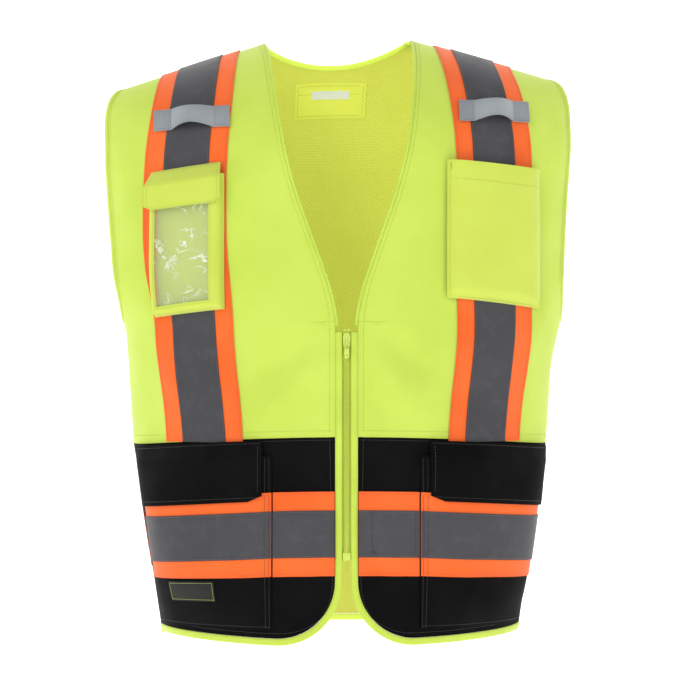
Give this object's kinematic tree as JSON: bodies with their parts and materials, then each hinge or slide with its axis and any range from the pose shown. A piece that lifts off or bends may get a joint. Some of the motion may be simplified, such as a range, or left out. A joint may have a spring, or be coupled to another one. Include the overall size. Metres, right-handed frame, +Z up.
{
  "type": "high visibility vest",
  "caption": "Sleeveless zip-front safety vest with reflective tapes, cargo pockets with flaps, a clear-window card pocket, a chest pocket and microphone tabs.",
  "frame": {"origin": "on the centre line at the height of the neck ends of the shoulder seams, where the vest hangs from the shoulders", "axes": "+Z up the body, -Y out of the chest, +X to the wearer's left"},
  "size_m": [0.5193, 0.2604, 0.6632],
  "materials": {
    "lime_tricot": "matte",
    "lime_mesh": "matte",
    "black_cloth": "matte",
    "lime_binding": "matte",
    "orange_tape": "matte",
    "reflective_tape": "satin",
    "pocket_cloth": "matte",
    "clear_vinyl": "gloss",
    "grey_webbing": "matte",
    "zip_tape_cloth": "matte",
    "zip_plastic": "satin",
    "hook_and_loop": "matte",
    "label_cloth": "matte",
    "badge_cloth": "matte"
  },
  "bodies": {
    "vest": {"right_front_panel": "lime_tricot", "left_front_panel": "lime_tricot", "back_panel": "lime_mesh", "right_lower_panel": "black_cloth", "right_cargo_pouch": "black_cloth", "left_lower_panel": "black_cloth", "left_cargo_pouch": "black_cloth", "right_neck_binding": "lime_binding", "right_armhole_binding": "lime_binding", "right_front_binding": "lime_binding", "left_neck_binding": "lime_binding", "left_armhole_binding": "lime_binding", "left_front_binding": "lime_binding", "back_neck_binding": "lime_binding", "back_hem_binding": "lime_binding", "right_brace_backing": "orange_tape", "right_band_backing": "orange_tape", "right_pouch_backing": "orange_tape", "left_brace_backing": "orange_tape", "left_band_backing": "orange_tape", "left_pouch_backing": "orange_tape", "back_band_backing": "orange_tape", "right_brace_reflector": "reflective_tape", "right_band_reflector": "reflective_tape", "right_pouch_reflector": "reflective_tape", "left_brace_reflector": "reflective_tape", "left_band_reflector": "reflective_tape", "left_pouch_reflector": "reflective_tape", "back_band_reflector": "reflective_tape", "chest_pocket": "pocket_cloth", "id_pocket": "pocket_cloth", "neck_patch": "pocket_cloth", "id_window": "clear_vinyl", "right_mic_tab": "grey_webbing", "left_mic_tab": "grey_webbing", "right_zip_tape": "zip_tape_cloth", "left_zip_tape": "zip_tape_cloth", "right_zip_coil": "zip_plastic", "right_top_stop": "zip_plastic", "left_zip_coil": "zip_plastic", "left_top_stop": "zip_plastic", "zip_insertion_pin": "zip_plastic", "zip_retainer_box": "zip_plastic", "right_pouch_loop": "hook_and_loop", "left_pouch_loop": "hook_and_loop", "id_pocket_loop": "hook_and_loop", "neck_label": "label_cloth", "side_label": "badge_cloth"},
    "zip_slider": {"zip_slider": "zip_plastic"},
    "zip_pull": {"zip_pull": "zip_plastic"},
    "id_flap": {"id_flap": "pocket_cloth", "id_flap_hook": "hook_and_loop"},
    "right_cargo_flap": {"right_cargo_flap": "black_cloth", "right_flap_hook": "hook_and_loop"},
    "left_cargo_flap": {"left_cargo_flap": "black_cloth", "left_flap_hook": "hook_and_loop"}
  },
  "joints": [
    {"name": "zip_travel", "type": "slide", "parent": "vest", "child": "zip_slider", "axis": [0, 0, -1], "range_m": [0, 0.216]},
    {"name": "pull_swing", "type": "hinge", "parent": "zip_slider", "child": "zip_pull", "pos_m": [0, -0.13925, -0.335], "axis": [-1, 0, 0], "range_deg": [0, 170]},
    {"name": "id_flap_lift", "type": "hinge", "parent": "vest", "child": "id_flap", "pos_m": [-0.17088, -0.10503, -0.14523], "axis": [-0.9051, 0.4106, -0.1101], "range_deg": [0, 110]},
    {"name": "right_cargo_flap_lift", "type": "hinge", "parent": "vest", "child": "right_cargo_flap", "pos_m": [-0.17545, -0.09299, -0.44335], "axis": [-0.8267, 0.5599, -0.0561], "range_deg": [0, 95]},
    {"name": "left_cargo_flap_lift", "type": "hinge", "parent": "vest", "child": "left_cargo_flap", "pos_m": [0.17545, -0.09299, -0.44335], "axis": [-0.8267, -0.5599, 0.0561], "range_deg": [0, 95]}
  ]
}
